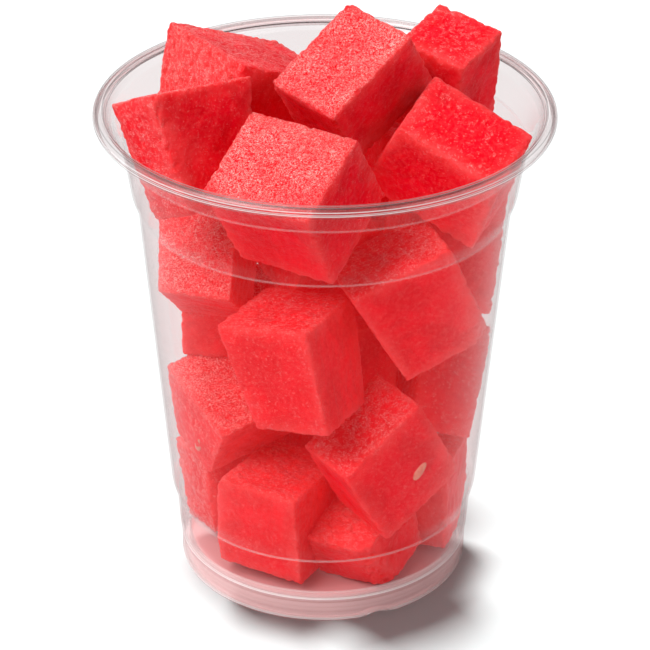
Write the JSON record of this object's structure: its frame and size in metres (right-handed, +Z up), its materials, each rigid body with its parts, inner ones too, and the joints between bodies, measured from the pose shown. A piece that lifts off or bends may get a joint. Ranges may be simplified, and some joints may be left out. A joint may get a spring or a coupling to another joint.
{
  "type": "watermelon cup",
  "caption": "Clear plastic cup heaped over its rolled rim with hand-cut cubes of red watermelon, a fruit snack to pick up and eat from.",
  "frame": {"origin": "on the cup's axis, in the plane that its foot stands on", "axes": "+Z up along the cup's axis, -Y to the front"},
  "size_m": [0.0992, 0.0992, 0.1316],
  "materials": {
    "clear_plastic": "clear and glossy",
    "watermelon_flesh": "moist and grainy"
  },
  "bodies": {
    "root": {"cup": "clear_plastic", "chunk_bottom_front_left": "watermelon_flesh", "chunk_bottom_front": "watermelon_flesh", "chunk_bottom_right": "watermelon_flesh", "chunk_bottom_left": "watermelon_flesh", "chunk_bottom_back_right": "watermelon_flesh", "chunk_bottom_back_left": "watermelon_flesh", "chunk_lower_left": "watermelon_flesh", "chunk_lower_front_right": "watermelon_flesh", "chunk_lower_back_right": "watermelon_flesh", "chunk_lower_back_left": "watermelon_flesh", "chunk_middle_core": "watermelon_flesh", "chunk_middle_right": "watermelon_flesh", "chunk_middle_left": "watermelon_flesh", "chunk_middle_front": "watermelon_flesh", "chunk_middle_front_right": "watermelon_flesh", "chunk_middle_back_right": "watermelon_flesh", "chunk_upper_core": "watermelon_flesh", "chunk_upper_back_left": "watermelon_flesh", "chunk_upper_left": "watermelon_flesh", "chunk_upper_right": "watermelon_flesh", "chunk_upper_back_right": "watermelon_flesh", "chunk_upper_back": "watermelon_flesh", "chunk_top_front": "watermelon_flesh", "chunk_top_left": "watermelon_flesh", "chunk_top_right": "watermelon_flesh", "chunk_top_back_left": "watermelon_flesh", "chunk_top_centre": "watermelon_flesh", "chunk_top_back_right": "watermelon_flesh"}
  },
  "joints": []
}
